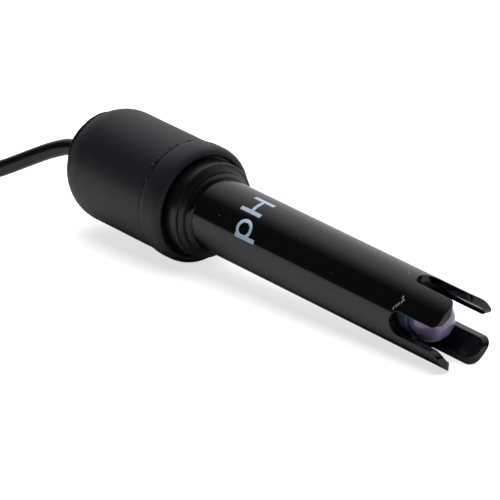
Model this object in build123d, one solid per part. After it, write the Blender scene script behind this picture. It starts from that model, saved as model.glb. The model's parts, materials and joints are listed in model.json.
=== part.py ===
from build123d import *
import math
import os

# A combination pH electrode with its coaxial lead and bayonet plug, lying at rest on a flat surface.
# The electrode is drawn along its own axis X: x = 0 is the collar's front face, the bulb is at +X and
# the lead leaves at -X. It is then laid nose down, so that the front ring and two prongs touch z = 0.
# The lead runs back to a tied hank and ends in the plug, which lies in line behind the hank.

# Clearances
glue_gap = 0.03  # between turned pieces that are glued or potted together
running_gap = 0.06  # radial, for the coupling sleeve on its plug body
cut_past = 1.0  # how far a cutter reaches past what it cuts

# Body tube, which ends in the slotted guard round the bulb
tube_d = 12.0
tube_wall = 1.2
tube_proud = 58.5  # from the collar's face to the prong ends
tube_seat = 9.0  # the length that the collar holds
spigot_d = 11.6  # the tube's seated end is turned down
spigot_proud = 0.5  # a narrow relief in front of the collar
prong_count = 4
slot_w = 3.8
slot_l = 10.5
prong_corner_r = 1.5

# Glass electrode: a stem with a blown bulb
stem_d = 6.4
stem_wall = 0.5
stem_back_x = -4.0
bulb_d = 7.1
bulb_wall = 0.35
bulb_recess = 3.85  # from the prong ends back to the bulb's pole

# Seals, fillings and wires inside the body
tip_seal_l = 5.2
tip_seal_recess = 0.8  # the seal's face lies this far behind the slots' closed ends
neck_sleeve_d = 7.6
neck_sleeve_l = 2.3
neck_sleeve_edge_r = 0.25
junction_d = 0.8
junction_r = 4.3  # its distance from the axis
junction_proud = 0.1  # past the seal's face
rear_seal_l = 5.0
gel_air_gap = 0.3  # left at each end of the reference gel
buffer_air_l = 9.0  # air above the buffer in the glass stem
wire_d = 0.5
coated_d = 0.8
coated_l = 8.0
wire_tip_gap = 4.5  # from the silver wire's end to the bulb's centre
reference_r = 4.0  # the reference wire's distance from the axis
reference_end_gap = 6.0  # from the reference wire's end to the tip seal

# Collar: the hard cap that holds the body tube and closes the grip
collar_l = 14.0
collar_bore_d = 10.4
collar_plug_d = 16.2  # the part that sits inside the grip
land_d = 15.8  # the first ring, which shows in front of the grip
land_back_x = -4.6
land_front_x = -1.3
land_edge_r = 0.35
step_d = 14.7  # where the sloping face starts
ring_d = 13.2  # the second, smaller ring
ring_l = 0.75
ring_edge_r = 0.15

# Grip: a moulded rubber sleeve with a domed back, and the ring that closes its front
grip_d = 18.9
grip_wall = 1.3
grip_back_x = -31.8
dome_r = 7.2
seam_x = -8.4
seam_edge_r = 0.25
bulge_proud = 0.3  # the front ring's bulge, past the sleeve
bulge_x = -6.9
rim_x = -3.75
rim_lip = 0.4  # the rim stands this far off the collar's first ring
rim_drop = 0.15  # the rim's shoulder lies this far inside the middle of its slope
rim_round_h = 0.25
rim_round_l = 0.35
rim_lean = 0.05
flash_x = -29.0  # a ridge of moulding flash round part of the dome
flash_h = 0.45
flash_t = 0.35
flash_from, flash_to = 13.0, 77.0  # degrees, from straight up towards -Y

# Lead entry and the joints inside the grip
cord_d = 2.7
grommet_d = 4.2
grommet_nose_l = 2.2
grommet_nose_d = 3.9
grommet_flange_d = 6.0
grommet_flange_t = 1.0
grommet_edge = 0.3
exit_straight = 2.0  # the lead runs straight this far past the grommet
jacket_end_x = -21.0
core_d = 1.5
core_end_x = -17.0
strand_d = 0.48
splice_d = 1.4
splice_l = 4.0
wire_back_x = -12.0
braid_d = 0.9
braid_rise_l = 2.5  # the braid's tail runs out to the reference wire's distance in this length
braid_bend_r = 1.5
potting_back_x = -27.5

# Rest and the lead's route, in the frame of the whole: z = 0 is the surface that it lies on
hank_near_x = -76.0
hank_y = -2.4
lane_inner_r = 8.1  # the middle of the inner turns, at the end loops
hank_columns = 2
hank_rows = 4
hank_l = 50.0
hank_waist_gap = 0.9  # between the two sides of the hank, inside the tie
tie_w = 3.0
tie_t = 0.6
tie_bend_r = 0.4
tie_twist_d = 1.6
tie_twist_l = 2.8
tie_gap = 0.05  # above and below the hank
tie_side_gap = 0.3
cord_route = [
    (-52.4, -1.6, 10.4),
    (-57.2, -3.4, 7.9),
    (-62.6, -5.6, 4.9),
    (-68.6, -8.4, 2.6),
    (-75.0, -11.2, 1.5),
    (-81.6, -12.9, 1.4),
]
tail_route = [
    (-120.2, -13.0, 9.2),
    (-125.8, -12.2, 7.0),
    (-130.4, -9.9, 3.4),
]

# Bayonet plug, drawn along its own axis X: x = 0 is the coupling sleeve's front edge, the lead at +X
plug_y = -7.2
plug_boot_x = -138.2  # where the lead enters the boot, in the frame of the whole
sleeve_l = 15.6
sleeve_front_d = 12.6
sleeve_grip_d = 14.5
sleeve_grip_x = 7.4
sleeve_bore_d = 9.9
sleeve_neck_d = 8.4
sleeve_cavity_d = 11.2
sleeve_travel = 0.4  # the way that the sleeve moves forward on the plug against its washer
sleeve_front_play = 0.1
sleeve_edge = 0.3
sleeve_grip_edge = 0.5
flute_count = 24
flute_r = 0.45
flute_depth = 0.22
bayonet_w = 2.2
bayonet_entry = 1.9
bayonet_end_x = 5.4
bayonet_turn = 78.0
bayonet_steps = 6
bayonet_seat_back = 0.5  # the lug's seat lies this far back from the ramp's end
bayonet_overcut = 0.6  # the slots' cutter starts this far inside the bore
contact_d = 8.1
contact_bore_d = 6.6
contact_front_x = 2.4
contact_edge = 0.2
plug_flange_d = 10.6
plug_flange_x = 10.2
plug_flange_t = 1.0
plug_back_d = 9.0
plug_back_l = 5.4
plug_back_gap = 0.3  # behind the sleeve
crimp_stem_d = 3.9
crimp_stem_l = 6.5
insulator_front_x = 4.6
insulator_d = 4.7
insulator_stop_l = 2.0  # from the insulator's back to the crimp stem
pin_d = 1.37
pin_front_x = 2.9
pin_point_l = 0.8
pin_point_d = 0.46
pin_tail_d = 1.9
pin_tail_l = 3.0
gasket_t = 0.9
washer_t = 0.5
rim_gap = 0.2  # radial, round the gasket and the washer
jacket_gap = 0.2  # from the crimp stem to the jacket
ferrule_wall = 0.45
ferrule_grip_l = 4.0  # the length that the ferrule holds of the jacket
braid_room = 0.15  # for the braid, between the crimp stem and the ferrule
boot_l = 20.0
boot_front_d = 9.4
boot_end_d = 4.6
boot_shoulder_l = 5.0
boot_step = 0.9
boot_skin = 0.3  # left under each groove
boot_groove_count = 4
boot_groove_w = 0.9
boot_groove_depth = 0.55
boot_first_groove = 0.4  # from the ferrule's end to the first groove
tail_seat = 6.0  # the length of the lead's drawn tail inside the boot
tail_straight = 2.5

tube_r = tube_d / 2
bore_r = tube_r - tube_wall
tip_x = tube_proud
slot_end_x = tip_x - slot_l
stem_r = stem_d / 2
stem_bore_r = stem_r - stem_wall
bulb_r = bulb_d / 2
bulb_x = tip_x - bulb_recess - bulb_r
bulb_bore_r = bulb_r - bulb_wall
tip_seal_front_x = slot_end_x - tip_seal_recess
tip_seal_back_x = tip_seal_front_x - tip_seal_l
rear_seal_front_x = stem_back_x + rear_seal_l
grip_r = grip_d / 2
grip_bore_r = collar_plug_d / 2 + glue_gap
cord_r = cord_d / 2
washer_x = plug_flange_x + plug_flange_t + glue_gap + sleeve_travel
bulge_r = grip_r + bulge_proud
rim_r = land_d / 2 + rim_lip
plug_back_x = sleeve_l + plug_back_gap
plug_stem_x = plug_back_x + plug_back_l
insulator_back_x = plug_stem_x - insulator_stop_l
plug_jacket_x = plug_stem_x + crimp_stem_l + jacket_gap
ferrule_end_x = plug_jacket_x + ferrule_grip_l
ferrule_bore_r = crimp_stem_d / 2 + glue_gap + braid_room
plug_end_x = plug_stem_x + glue_gap + boot_l


def turned(*parts_of_outline):
    """A solid turned about X from lines and arcs drawn in x and radius."""
    outline = Curve() + list(parts_of_outline)
    return revolve(make_face(outline.edges()), axis=Axis.X)


def turned_corners(*corners):
    """A solid turned about X from the corners of its outline, as x and radius."""
    return turned(Polyline(*corners, close=True))


def rod(start_x, end_x, diameter, off_axis=0.0):
    """A round bar along X, off_axis above the axis."""
    start = Plane(origin=(start_x, 0, off_axis), z_dir=(1, 0, 0))
    return extrude(start * Circle(diameter / 2), amount=end_x - start_x)


def pipe(start_x, end_x, outer_d, inner_d):
    """A round pipe along X."""
    return rod(start_x, end_x, outer_d) - rod(start_x, end_x, inner_d)


def edges_at(shape, x, radius, tolerance=0.02):
    """The round edges about X at that place and radius."""
    return [
        edge
        for edge in shape.edges().filter_by(GeomType.CIRCLE)
        if abs(edge.arc_center.X - x) < tolerance
        and abs(edge.radius - radius) < tolerance
    ]


def sphere_meets(sphere_x, sphere_r, radius):
    """The x where a sphere's back half has that radius, and its angle there from +X."""
    return sphere_x - math.sqrt(sphere_r**2 - radius**2), 180 - math.degrees(
        math.asin(radius / sphere_r)
    )


def body_tube():
    """The moulded body: a tube whose end is cut into prongs that guard the bulb."""
    tube = pipe(spigot_proud, tip_x, tube_d, 2 * bore_r)
    tube += pipe(-tube_seat, spigot_proud, spigot_d, 2 * bore_r)
    reach = tube_r + cut_past
    end_round = Location((slot_end_x + slot_w / 2, 0, 0)) * Circle(slot_w / 2)
    straight_x, past_x = slot_end_x + slot_w / 2, tip_x + cut_past
    straight = Location(((straight_x + past_x) / 2, 0, 0)) * Rectangle(
        past_x - straight_x, slot_w
    )
    outline = end_round + straight
    for side in (-1, 1):
        corner_y = side * (slot_w + prong_corner_r) / 2
        centre_y = side * (slot_w / 2 + prong_corner_r)
        block = Location((tip_x - prong_corner_r / 2, corner_y, 0)) * Rectangle(
            prong_corner_r, prong_corner_r
        )
        block -= Location((tip_x - prong_corner_r, centre_y, 0)) * Circle(prong_corner_r)
        outline += block
    cutter = extrude(outline, amount=reach)
    for i in range(prong_count):
        tube -= Rot(X=360 / prong_count * i) * cutter
    return tube


def glass_electrode():
    """The pH glass: a stem with a thin bulb blown on its end."""
    outer_x, outer_angle = sphere_meets(bulb_x, bulb_r, stem_r)
    inner_x, inner_angle = sphere_meets(bulb_x, bulb_bore_r, stem_bore_r)
    return turned(
        Polyline(
            (inner_x, stem_bore_r),
            (stem_back_x, stem_bore_r),
            (stem_back_x, stem_r),
            (outer_x, stem_r),
        ),
        CenterArc((bulb_x, 0), bulb_r, outer_angle, -outer_angle),
        Line((bulb_x + bulb_r, 0), (bulb_x + bulb_bore_r, 0)),
        CenterArc((bulb_x, 0), bulb_bore_r, 0, inner_angle),
    )


def silver_wire():
    """The inner element: a silver wire with a chloride-coated end."""
    end_x = bulb_x - wire_tip_gap
    bare = rod(wire_back_x, end_x - coated_l, wire_d)
    return bare + rod(end_x - coated_l, end_x, coated_d)


def reference_wire():
    """The reference element, beside the glass stem."""
    end_x = tip_seal_back_x - reference_end_gap
    bare = rod(wire_back_x, end_x - coated_l, wire_d, reference_r)
    return bare + rod(end_x - coated_l, end_x, coated_d, reference_r)


def inner_buffer():
    """The buffer that fills the bulb and most of the stem."""
    liquid_r = stem_bore_r - glue_gap
    liquid_bulb_r = bulb_bore_r - glue_gap
    meet_x, meet_angle = sphere_meets(bulb_x, liquid_bulb_r, liquid_r)
    back_x = rear_seal_front_x + buffer_air_l
    liquid = turned(
        Polyline(
            (bulb_x + liquid_bulb_r, 0), (back_x, 0), (back_x, liquid_r), (meet_x, liquid_r)
        ),
        CenterArc((bulb_x, 0), liquid_bulb_r, meet_angle, -meet_angle),
    )
    end_x = bulb_x - wire_tip_gap + glue_gap
    liquid -= rod(wire_back_x, end_x, wire_d + 2 * glue_gap)
    return liquid - rod(end_x - coated_l - 2 * glue_gap, end_x, coated_d + 2 * glue_gap)


def reference_gel():
    """The potassium chloride gel between the glass stem and the body."""
    start_x = rear_seal_front_x + gel_air_gap
    end_x = tip_seal_back_x - gel_air_gap
    gel = pipe(start_x, end_x, 2 * (bore_r - glue_gap), 2 * (stem_r + glue_gap))
    wire_end_x = tip_seal_back_x - reference_end_gap + glue_gap
    gel -= rod(start_x, wire_end_x, wire_d + 2 * glue_gap, reference_r)
    coated_from = wire_end_x - coated_l - 2 * glue_gap
    return gel - rod(coated_from, wire_end_x, coated_d + 2 * glue_gap, reference_r)


def tip_seal():
    """The black epoxy ring that closes the body behind the guard, with the junction's hole."""
    ring = pipe(
        tip_seal_back_x,
        tip_seal_front_x,
        2 * (bore_r - glue_gap),
        2 * (stem_r + glue_gap),
    )
    return ring - rod(
        tip_seal_back_x, tip_seal_front_x, junction_d + 2 * glue_gap, -junction_r
    )


def junction():
    """The porous ceramic plug that lets the gel touch the sample."""
    return rod(
        tip_seal_back_x, tip_seal_front_x + junction_proud, junction_d, -junction_r
    )


def neck_sleeve():
    """The translucent silicone sleeve that seals the bulb's neck."""
    end_x = tip_seal_front_x + neck_sleeve_l
    sleeve = pipe(tip_seal_front_x, end_x, neck_sleeve_d, 2 * (stem_r + glue_gap))
    return fillet(edges_at(sleeve, end_x, neck_sleeve_d / 2), neck_sleeve_edge_r)


def rear_seal():
    """The epoxy ring that closes the body round the back of the glass stem."""
    ring = pipe(
        stem_back_x, rear_seal_front_x, 2 * (bore_r - glue_gap), 2 * (stem_r + glue_gap)
    )
    return ring - rod(
        stem_back_x, rear_seal_front_x, wire_d + 2 * glue_gap, reference_r
    )


def stem_bung():
    """The rubber bung in the back of the glass stem, with the silver wire through it."""
    return pipe(
        stem_back_x,
        rear_seal_front_x,
        2 * (stem_bore_r - glue_gap),
        wire_d + 2 * glue_gap,
    )


def collar():
    """The hard cap: a stepped nose in front, a socket for the tube and a plug for the grip."""
    cap = turned_corners(
        (-collar_l, collar_bore_d / 2),
        (-collar_l, collar_plug_d / 2),
        (land_back_x, collar_plug_d / 2),
        (land_back_x, land_d / 2),
        (land_front_x, land_d / 2),
        (land_front_x, step_d / 2),
        (-ring_l, ring_d / 2 + ring_edge_r),
        (-ring_l, ring_d / 2),
        (0, ring_d / 2),
        (0, spigot_d / 2 + glue_gap),
        (-tube_seat, spigot_d / 2 + glue_gap),
        (-tube_seat, collar_bore_d / 2),
    )
    cap = fillet(edges_at(cap, land_front_x, land_d / 2), land_edge_r)
    return fillet(edges_at(cap, 0, ring_d / 2), ring_edge_r)


def domed(front_x, back_x, radius, corner_r):
    """A solid bar about X whose back end is rounded by corner_r."""
    centre = (back_x + corner_r, radius - corner_r)
    return turned(
        Polyline((back_x, 0), (front_x, 0), (front_x, radius), (centre[0], radius)),
        CenterArc(centre, corner_r, 90, 90),
        Line((back_x, centre[1]), (back_x, 0)),
    )


def dome_radius(x):
    """The grip's outer radius on its dome."""
    run = grip_back_x + dome_r - x
    return grip_r - dome_r + math.sqrt(dome_r**2 - run**2)


def grip_sleeve():
    """The rubber sleeve: straight sides, a domed back with the lead's hole, and a ridge of flash."""
    sleeve = domed(seam_x, grip_back_x, grip_r, dome_r)
    sleeve = fillet(edges_at(sleeve, seam_x, grip_r), seam_edge_r)
    sleeve -= domed(seam_x, grip_back_x + grip_wall, grip_bore_r, dome_r - grip_wall)
    sleeve -= rod(grip_back_x, grip_back_x + grip_wall, grommet_d)
    ridge_top = dome_radius(flash_x) + flash_h
    outline = Polyline(
        (flash_x - flash_t / 2, dome_radius(flash_x) - grip_wall / 2),
        (flash_x - flash_t / 2, ridge_top),
        (flash_x + flash_t / 2, ridge_top),
        (flash_x + flash_t / 2, dome_radius(flash_x) - grip_wall / 2),
        close=True,
    )
    flash = revolve(
        make_face(outline.edges()), axis=Axis.X, revolution_arc=flash_to - flash_from
    )
    return sleeve + Rot(X=90 + flash_from) * flash


def front_ring():
    """The rubber ring glued to the sleeve's front: it bulges, then rounds in to the rim."""
    shoulder = (rim_x, (bulge_r + rim_r) / 2 - rim_drop)
    rim_end = (rim_x - rim_round_l, rim_r)
    return turned(
        Polyline((land_back_x, grip_bore_r), (seam_x, grip_bore_r), (seam_x, grip_r)),
        Spline((seam_x, grip_r), (bulge_x, bulge_r), tangents=((1, 0.6), (1, 0))),
        Spline((bulge_x, bulge_r), shoulder, tangents=((1, 0), (0.35, -1))),
        ThreePointArc(shoulder, (rim_x - rim_lean, rim_r + rim_round_h), rim_end),
        Polyline(rim_end, (land_back_x, rim_r), (land_back_x, grip_bore_r)),
    )


def grommet():
    """The rubber bush that the lead comes out of, seated in the hole of the dome."""
    inner_dome_r = dome_r - grip_wall
    past_flat = grommet_flange_d / 2 - (grip_bore_r - inner_dome_r)
    sag = inner_dome_r - math.sqrt(inner_dome_r**2 - max(past_flat, 0) ** 2)
    inner_x = grip_back_x + grip_wall + sag
    nose_x = grip_back_x - grommet_nose_l
    return turned_corners(
        (nose_x, cord_r + glue_gap),
        (nose_x, grommet_nose_d / 2 - grommet_edge),
        (nose_x + grommet_edge, grommet_nose_d / 2),
        (grip_back_x, grommet_d / 2 - glue_gap),
        (inner_x + glue_gap, grommet_d / 2 - glue_gap),
        (inner_x + glue_gap, grommet_flange_d / 2),
        (inner_x + glue_gap + grommet_flange_t, grommet_flange_d / 2),
        (inner_x + glue_gap + grommet_flange_t, cord_r + glue_gap),
    )


def coax_core():
    """The lead's inner insulation, bared inside the grip, round its strand."""
    return pipe(jacket_end_x, core_end_x, core_d, strand_d + 2 * glue_gap)


def coax_strand():
    """The lead's inner conductor, from the jacket's end to its joint."""
    return rod(jacket_end_x, wire_back_x - glue_gap, strand_d)


def splice(off_axis):
    """A crimped sleeve that joins a lead to a silver wire end to end."""
    start_x = wire_back_x - splice_l / 2
    end_x = wire_back_x + splice_l / 2
    return rod(start_x, end_x, splice_d, off_axis) - rod(
        start_x, end_x, wire_d + 2 * glue_gap, off_axis
    )


def braid_line(end_gap):
    """The way of the lead's braid, from beside the core to end_gap short of its splice."""
    start = (jacket_end_x, 0, core_d / 2 + braid_d / 2 + glue_gap)
    bend = (jacket_end_x + braid_rise_l, 0, reference_r)
    end = (wire_back_x - splice_l / 2 - end_gap, 0, reference_r)
    return FilletPolyline(start, bend, end, radius=braid_bend_r)


def braid_tail():
    """The lead's braid, twisted into a tail that runs out to the reference wire."""
    path = braid_line(glue_gap)
    return sweep(Plane(origin=path @ 0, z_dir=path % 0) * Circle(braid_d / 2), path)


def potting():
    """The epoxy that fills the grip and the collar's back round the joints."""
    fill_r = grip_bore_r - glue_gap
    depth = potting_back_x - grip_back_x - grip_wall
    block = domed(-collar_l - glue_gap, potting_back_x, fill_r, dome_r - grip_wall - depth)
    block += rod(-collar_l - glue_gap, -tube_seat - glue_gap, collar_bore_d - 2 * glue_gap)
    block += rod(
        -tube_seat - glue_gap, stem_back_x - glue_gap, 2 * (bore_r - glue_gap)
    )
    grow = 2 * glue_gap
    block -= rod(potting_back_x, jacket_end_x + glue_gap, cord_d + grow)
    block -= rod(jacket_end_x, core_end_x + glue_gap, core_d + grow)
    block -= rod(core_end_x, wire_back_x, strand_d + grow)
    for off_axis in (0, reference_r):
        start_x = wire_back_x - splice_l / 2 - glue_gap
        block -= rod(start_x, start_x + splice_l + grow, splice_d + grow, off_axis)
        block -= rod(wire_back_x, stem_back_x, wire_d + grow, off_axis)
    path = braid_line(-glue_gap)
    section = Plane(origin=path @ 0, z_dir=path % 0) * Circle(braid_d / 2 + glue_gap)
    return block - sweep(section, path)


def bayonet_pin(x, angle):
    """A radial round bar at that place round the sleeve, as wide as a bayonet lug's slot."""
    reach = sleeve_grip_d / 2 + cut_past
    return Rot(X=angle) * (
        Pos(x, 0, reach / 2) * Cylinder(bayonet_w / 2, reach, align=Align.CENTER)
    )


def bayonet_slot():
    """The cutter of one bayonet slot: straight in, up the ramp and back into the lug's seat."""
    cutter = Pos(bayonet_entry / 2, 0, sleeve_grip_d / 2) * Box(
        bayonet_entry, bayonet_w, sleeve_grip_d
    )
    cutter += bayonet_pin(bayonet_entry, 0)
    step_angle = bayonet_turn / bayonet_steps
    step_x = (bayonet_end_x - bayonet_entry) / bayonet_steps
    middle_r = (sleeve_bore_d + sleeve_front_d) / 4
    step_y = middle_r * math.radians(step_angle)
    slope = math.degrees(math.atan2(step_y, step_x))
    for i in range(bayonet_steps):
        angle = (i + 0.5) * step_angle
        x = bayonet_entry + (i + 0.5) * step_x
        length = math.hypot(step_x, step_y)
        block = Pos(0, 0, sleeve_grip_d / 2) * Box(length, bayonet_w, sleeve_grip_d)
        cutter += Rot(X=angle) * (Pos(x, 0, 0) * (Rot(Z=-slope) * block))
        cutter += bayonet_pin(x + step_x / 2, angle + step_angle / 2)
    seat = bayonet_pin(bayonet_end_x - bayonet_seat_back, bayonet_turn)
    bore = rod(-cut_past, sleeve_l, sleeve_bore_d - 2 * bayonet_overcut)
    return cutter + seat - bore


def coupling_sleeve():
    """The sleeve that turns on the plug, with its two bayonet slots and a fluted grip."""
    cavity_x = plug_flange_x - sleeve_front_play
    sleeve = turned_corners(
        (0, sleeve_bore_d / 2),
        (0, sleeve_front_d / 2 - sleeve_edge),
        (sleeve_edge, sleeve_front_d / 2),
        (sleeve_grip_x, sleeve_front_d / 2),
        (sleeve_grip_x + sleeve_grip_edge, sleeve_grip_d / 2),
        (sleeve_l - sleeve_grip_edge, sleeve_grip_d / 2),
        (sleeve_l, sleeve_grip_d / 2 - sleeve_grip_edge),
        (sleeve_l, sleeve_neck_d / 2),
        (washer_x + washer_t + glue_gap, sleeve_neck_d / 2),
        (washer_x + washer_t + glue_gap, sleeve_cavity_d / 2),
        (cavity_x, sleeve_cavity_d / 2),
        (cavity_x, sleeve_bore_d / 2),
    )
    slot = bayonet_slot()
    sleeve -= slot
    sleeve -= Rot(X=180) * slot
    flute = rod(
        sleeve_grip_x + sleeve_grip_edge,
        sleeve_l,
        2 * flute_r,
        sleeve_grip_d / 2 + flute_r - flute_depth,
    )
    for i in range(flute_count):
        sleeve -= Rot(X=360 / flute_count * (i + 0.5)) * flute
    return sleeve


def plug_body():
    """The plug's body: outer contact in front, a flange that holds the sleeve, and the crimp stem."""
    flange_end_x = plug_flange_x + plug_flange_t
    stem_end_x = plug_stem_x + crimp_stem_l
    neck_d = sleeve_neck_d - 2 * running_gap
    return turned_corners(
        (contact_front_x, contact_bore_d / 2),
        (contact_front_x, contact_d / 2 - contact_edge),
        (contact_front_x + contact_edge, contact_d / 2),
        (plug_flange_x, contact_d / 2),
        (plug_flange_x, plug_flange_d / 2),
        (flange_end_x, plug_flange_d / 2),
        (flange_end_x, neck_d / 2),
        (plug_back_x, neck_d / 2),
        (plug_back_x, plug_back_d / 2),
        (plug_stem_x, plug_back_d / 2),
        (plug_stem_x, crimp_stem_d / 2),
        (stem_end_x, crimp_stem_d / 2),
        (stem_end_x, core_d / 2 + glue_gap),
        (insulator_back_x, core_d / 2 + glue_gap),
        (insulator_back_x, insulator_d / 2 + glue_gap),
        (plug_flange_x, insulator_d / 2 + glue_gap),
        (plug_flange_x, contact_bore_d / 2),
    )


def plug_insulator():
    """The white insulator that carries the pin."""
    back_x = insulator_back_x - glue_gap
    return turned_corners(
        (insulator_front_x, pin_d / 2 + glue_gap),
        (insulator_front_x, insulator_d / 2),
        (back_x, insulator_d / 2),
        (back_x, pin_tail_d / 2 + glue_gap),
        (back_x - pin_tail_l, pin_tail_d / 2 + glue_gap),
        (back_x - pin_tail_l, pin_d / 2 + glue_gap),
    )


def plug_pin():
    """The centre pin, crimped to the lead's strand behind the insulator."""
    back_x = insulator_back_x - glue_gap
    tail_x = back_x - pin_tail_l + glue_gap
    return turned_corners(
        (pin_front_x, 0),
        (pin_front_x, pin_point_d / 2),
        (pin_front_x + pin_point_l, pin_d / 2),
        (tail_x, pin_d / 2),
        (tail_x, pin_tail_d / 2),
        (back_x, pin_tail_d / 2),
        (back_x, 0),
    )


def plug_lead_end():
    """The lead's stripped end: its insulated core in the crimp stem, its jacket in the boot."""
    core = rod(insulator_back_x + glue_gap, plug_jacket_x, core_d)
    return core + rod(plug_jacket_x, plug_end_x - tail_seat, cord_d)


def plug_gasket():
    """The silicone ring that seals the face of the socket."""
    start_x = plug_flange_x - gasket_t - glue_gap
    outer_d, inner_d = sleeve_bore_d - 2 * rim_gap, contact_d + 2 * glue_gap
    return pipe(start_x, start_x + gasket_t, outer_d, inner_d)


def thrust_washer():
    """The wavy spring washer, drawn flat, between the flange and the sleeve's back wall."""
    outer_d = plug_flange_d - 2 * rim_gap
    return pipe(washer_x, washer_x + washer_t, outer_d, sleeve_neck_d)


def plug_ferrule():
    """The crimp ferrule: a wide bore over the braid, a narrow one over the jacket."""
    start_x = plug_stem_x + glue_gap
    outer_r, jacket_r = ferrule_bore_r + ferrule_wall, cord_r + glue_gap
    return turned_corners(
        (start_x, ferrule_bore_r),
        (start_x, outer_r),
        (ferrule_end_x, outer_r),
        (ferrule_end_x, jacket_r),
        (plug_jacket_x, jacket_r),
        (plug_jacket_x, ferrule_bore_r),
    )


def plug_boot():
    """The grooved rubber boot over the ferrule: a bend relief for the lead."""
    start_x = plug_stem_x + glue_gap
    end_x = start_x + boot_l
    seat_x = ferrule_end_x + glue_gap
    seat_r = ferrule_bore_r + ferrule_wall + glue_gap
    taper_x = start_x + boot_shoulder_l + boot_step
    taper_r = boot_front_d / 2 - boot_step
    boot = turned_corners(
        (start_x, seat_r),
        (start_x, boot_front_d / 2),
        (start_x + boot_shoulder_l, boot_front_d / 2),
        (taper_x, taper_r),
        (end_x, boot_end_d / 2),
        (end_x, cord_r + glue_gap),
        (seat_x, cord_r + glue_gap),
        (seat_x, seat_r),
    )
    first_x = seat_x + boot_first_groove
    pitch = (end_x - first_x) / boot_groove_count
    for i in range(boot_groove_count):
        x = first_x + i * pitch
        share = (x + boot_groove_w - taper_x) / (end_x - taper_x)
        skin_r = taper_r + share * (boot_end_d / 2 - taper_r)
        floor_r = max(skin_r - boot_groove_depth, cord_r + glue_gap + boot_skin)
        boot -= pipe(x, x + boot_groove_w, boot_front_d + cut_past, 2 * floor_r)
    return boot


def rounded_path(points):
    """Straight runs joined by the widest tangent arcs that the runs allow, with the arcs' radii."""
    radii = []
    for before, corner, after in zip(points, points[1:], points[2:]):
        run_in, run_out = Vector(corner) - Vector(before), Vector(after) - Vector(corner)
        turn = math.radians(run_in.get_angle(run_out))
        shorter = min(run_in.length, run_out.length)
        radii.append(0.45 * shorter / math.tan(turn / 2))
    return FilletPolyline(*points, radius=radii), radii


def lead(points, name):
    """The lead's round tube along its route, checked against its section times its length."""
    path, radii = rounded_path(points)
    tube = sweep(Plane(origin=path @ 0, z_dir=path % 0) * Circle(cord_r), path)
    expected = math.pi * cord_r**2 * path.length
    print(name, "length", round(path.length, 2), "radii", [round(r, 1) for r in radii])
    print(name, "volume", round(tube.volume, 3), "expected", round(expected, 3))
    return tube


hank_outer_r = lane_inner_r + (hank_columns - 1) * cord_d + cord_r
hank_h = hank_rows * cord_d
waist_half = hank_waist_gap / 2 + hank_columns * cord_d
near_loop_x = hank_near_x - hank_outer_r
far_loop_x = hank_near_x - hank_l + hank_outer_r
waist_x = (near_loop_x + far_loop_x) / 2
lane_y = hank_y - hank_outer_r + cord_r  # the outer lane, which the lead enters and leaves by


def hank_side(side):
    """One side of the hank's outline: it bends in to the tie and out again, in equal arcs."""
    half_l = near_loop_x - waist_x
    pulled_in = hank_outer_r - waist_half
    bend = 2 * math.degrees(math.atan2(pulled_in, half_l))
    bend_r = half_l / (2 * math.sin(math.radians(bend)))
    loop_y, waist_y = hank_outer_r - bend_r, waist_half + bend_r
    near, waist, far = (
        (near_loop_x, hank_y + side * loop_y),
        (waist_x, hank_y + side * waist_y),
        (far_loop_x, hank_y + side * loop_y),
    )
    return [
        CenterArc(near, bend_r, side * 90, side * bend),
        CenterArc(waist, bend_r, side * (bend - 90), -side * 2 * bend),
        CenterArc(far, bend_r, side * (90 - bend), side * bend),
    ]


def cord_hank():
    """The outer shape of the hank: two end loops and a waist, with room below for the tie."""
    outline = Curve() + [
        *hank_side(1),
        ThreePointArc(
            (far_loop_x, hank_y + hank_outer_r),
            (far_loop_x - hank_outer_r, hank_y),
            (far_loop_x, hank_y - hank_outer_r),
        ),
        *hank_side(-1),
        ThreePointArc(
            (near_loop_x, hank_y - hank_outer_r),
            (near_loop_x + hank_outer_r, hank_y),
            (near_loop_x, hank_y + hank_outer_r),
        ),
    ]
    hank = extrude(make_face(outline.edges()), amount=hank_h)
    groove_h = tie_t + tie_gap
    hank -= Pos(waist_x, hank_y, groove_h / 2) * Box(
        tie_w + 2 * tie_side_gap, 4 * waist_half, groove_h
    )
    return hank


def cord_tie():
    """The flat tie round the hank's waist, closed by a twist on top."""
    inner_w = 2 * (waist_half + tie_side_gap)
    inner_h = hank_h + tie_gap - tie_t
    outside = RectangleRounded(inner_w + 2 * tie_t, inner_h + 2 * tie_t, tie_bend_r + tie_t)
    inside = RectangleRounded(inner_w, inner_h, tie_bend_r)
    band = extrude(Plane.YZ * (outside - inside), amount=tie_w / 2, both=True)
    twist = Pos(0, 0, inner_h / 2 + tie_t + tie_twist_l / 2) * Cylinder(
        tie_twist_d / 2, tie_twist_l
    )
    return Pos(waist_x, hank_y, inner_h / 2 + tie_t) * (band + twist)


electrode = {
    "body_tube": body_tube(),
    "glass_electrode": glass_electrode(),
    "silver_wire": silver_wire(),
    "reference_wire": reference_wire(),
    "inner_buffer": inner_buffer(),
    "reference_gel": reference_gel(),
    "tip_seal": tip_seal(),
    "junction": junction(),
    "neck_sleeve": neck_sleeve(),
    "rear_seal": rear_seal(),
    "stem_bung": stem_bung(),
    "collar": collar(),
    "grip_sleeve": grip_sleeve(),
    "front_ring": front_ring(),
    "grommet": grommet(),
    "coax_core": coax_core(),
    "coax_strand": coax_strand(),
    "inner_splice": splice(0),
    "reference_splice": splice(reference_r),
    "braid_tail": braid_tail(),
    "potting": potting(),
}

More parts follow.
